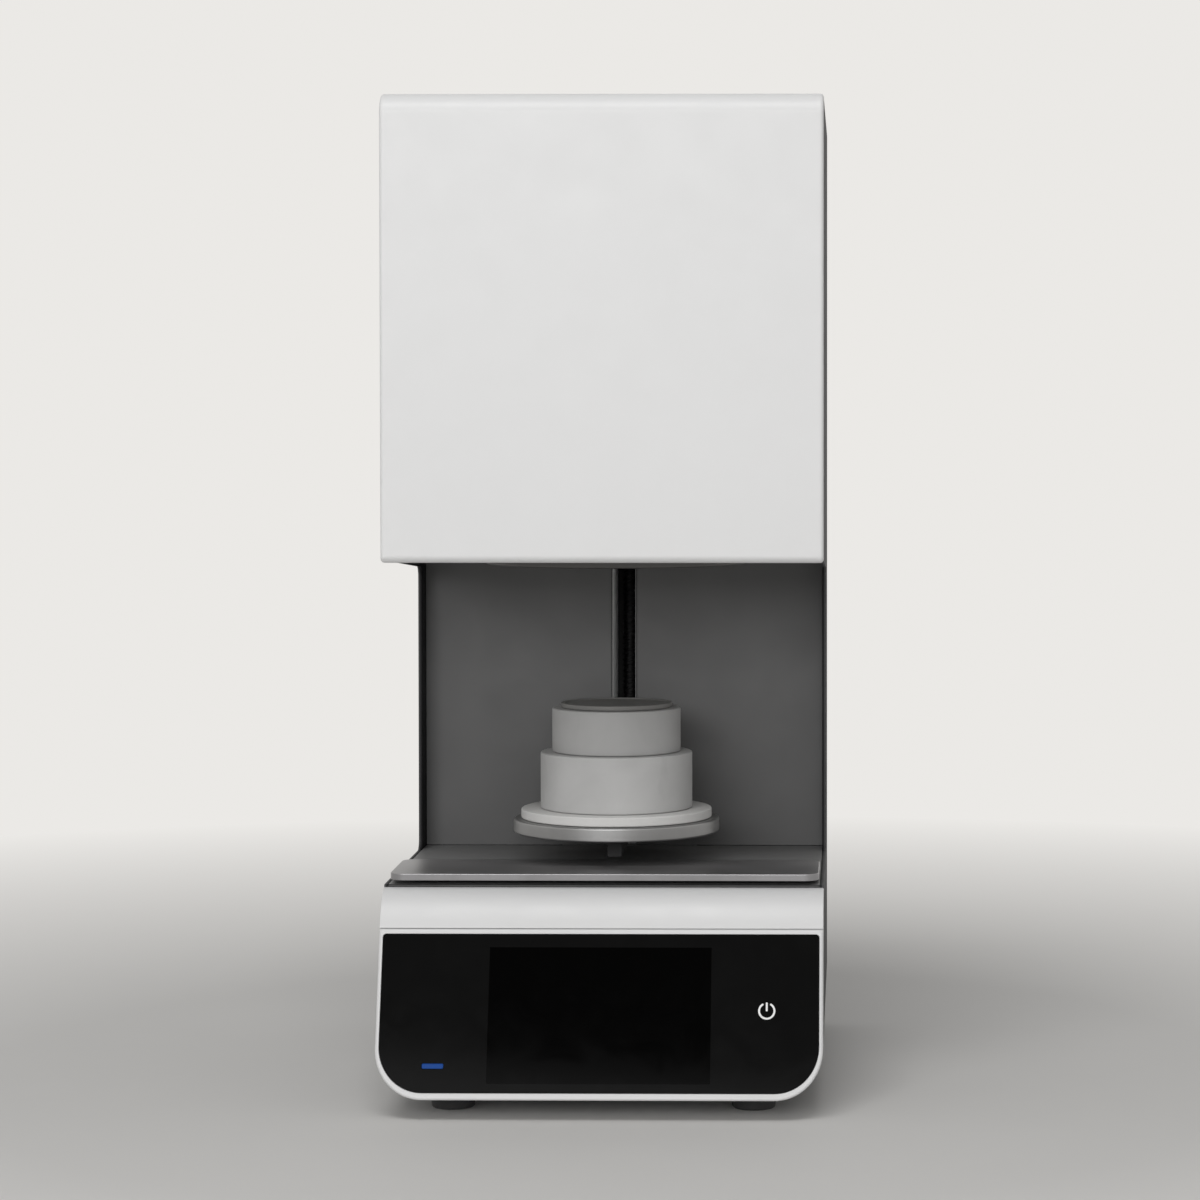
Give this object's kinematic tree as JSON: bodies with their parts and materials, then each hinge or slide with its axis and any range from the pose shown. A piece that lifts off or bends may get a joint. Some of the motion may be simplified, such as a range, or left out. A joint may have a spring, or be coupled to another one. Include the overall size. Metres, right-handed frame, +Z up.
{
  "type": "dental lab sintering furnace",
  "caption": "Tall bench furnace with an open loading bay, a stepped round platform that an arm lifts into a heated chamber, a loose tray and a leaning glass control front.",
  "frame": {"origin": "on the floor below the lift's axis, at the centre of the furnace's footprint", "axes": "+X to the right seen from the front, +Y to the rear, +Z up along the lift"},
  "size_m": [0.36, 0.4624, 0.826],
  "materials": {
    "white_paint": "satin white powder coat",
    "dark_paint": "fine textured dark grey powder coat",
    "bay_paint": "satin dark grey powder coat",
    "white_moulding": "satin white moulding",
    "black_glass": "black glass",
    "polished_steel": "polished stainless steel",
    "brushed_steel": "turned steel",
    "heat_steel": "heat-dulled steel",
    "black_steel": "blackened steel",
    "bright_steel": "ground bright steel",
    "zinc_steel": "zinc-coated sheet",
    "aluminium": "milled aluminium",
    "bronze": "machined bronze",
    "insulation": "vacuum-formed ceramic fibre board",
    "grey_ceramic": "matt light grey refractory",
    "dense_ceramic": "fine matt ceramic",
    "silicon_carbide": "dark grainy silicon carbide",
    "black_plastic": "matt black plastic",
    "black_rubber": "matt black rubber",
    "blue_light": "clear blue light guide",
    "green_board": "green circuit board",
    "motor_black": "black painted motor housing"
  },
  "bodies": {
    "cabinet": {"upper_cover": "white_paint", "left_side_panel": "dark_paint", "right_side_panel": "dark_paint", "rear_panel": "dark_paint", "bay_wall": "bay_paint", "slot_liner": "bay_paint", "base_deck": "bay_paint", "bottom_pan": "zinc_steel", "foot_front_left": "black_rubber", "foot_front_right": "black_rubber", "foot_rear_left": "black_rubber", "foot_rear_right": "black_rubber", "base_brow": "white_moulding", "base_bezel": "white_moulding", "front_glass": "black_glass", "status_light": "blue_light", "display_module": "black_plastic", "power_key_pad": "green_board", "control_board": "green_board", "guide_rod_left": "bright_steel", "guide_rod_right": "bright_steel", "lower_bearing_plate": "aluminium", "upper_bearing_plate": "aluminium", "lift_back_plate": "black_steel", "lift_motor": "motor_black", "motor_bracket": "zinc_steel", "chamber_pan": "dark_paint", "throat_ring": "heat_steel", "throat_insulation": "insulation", "wall_insulation": "insulation", "roof_insulation": "insulation", "chamber_casing": "zinc_steel", "terminal_plate": "dense_ceramic", "heating_rod_1": "silicon_carbide", "heating_rod_2": "silicon_carbide", "heating_rod_3": "silicon_carbide", "heating_rod_4": "silicon_carbide", "thermocouple": "dense_ceramic", "fan_frame": "black_plastic", "fan_guard": "bright_steel", "power_inlet": "black_plastic", "main_switch": "black_plastic", "power_supply": "aluminium", "heater_relay": "aluminium"},
    "lift": {"platform_disc": "brushed_steel", "fibre_disc": "insulation", "plug_lower": "grey_ceramic", "plug_upper": "grey_ceramic", "sample_plate": "dense_ceramic", "lift_arm": "dark_paint", "lift_carriage": "aluminium", "bushing_left": "bronze", "bushing_right": "bronze", "lift_nut": "bronze"},
    "screw": {"lead_screw": "black_steel", "screw_coupling": "aluminium", "motor_shaft": "bright_steel"},
    "fan": {"fan_rotor": "black_plastic"},
    "rocker": {"switch_rocker": "black_plastic"},
    "loose_tray": {"tray": "polished_steel"}
  },
  "joints": [
    {"name": "lift_slide", "type": "slide", "parent": "cabinet", "child": "lift", "axis": [0, 0, 1], "range_m": [0, 0.2185]},
    {"name": "screw_spin", "type": "hinge", "parent": "cabinet", "child": "screw", "pos_m": [0, 0.188, 0.3], "axis": [0, 0, 1], "range_deg": [-7870, 0]},
    {"name": "fan_spin", "type": "hinge", "parent": "cabinet", "child": "fan", "pos_m": [0, 0.2125, 0.54], "axis": [0, 1, 0], "continuous": true},
    {"name": "rocker_tip", "type": "hinge", "parent": "cabinet", "child": "rocker", "pos_m": [0.108, 0.2248, 0.105], "axis": [1, 0, 0], "range_deg": [0, 16]},
    {"name": "tray_slide", "type": "slide", "parent": "cabinet", "child": "loose_tray", "axis": [0, -1, 0], "range_m": [0, 0.1]}
  ],
  "couplings": [
    {"joint": "screw_spin", "follows": "lift_slide", "rad_per_m": -628.32}
  ]
}
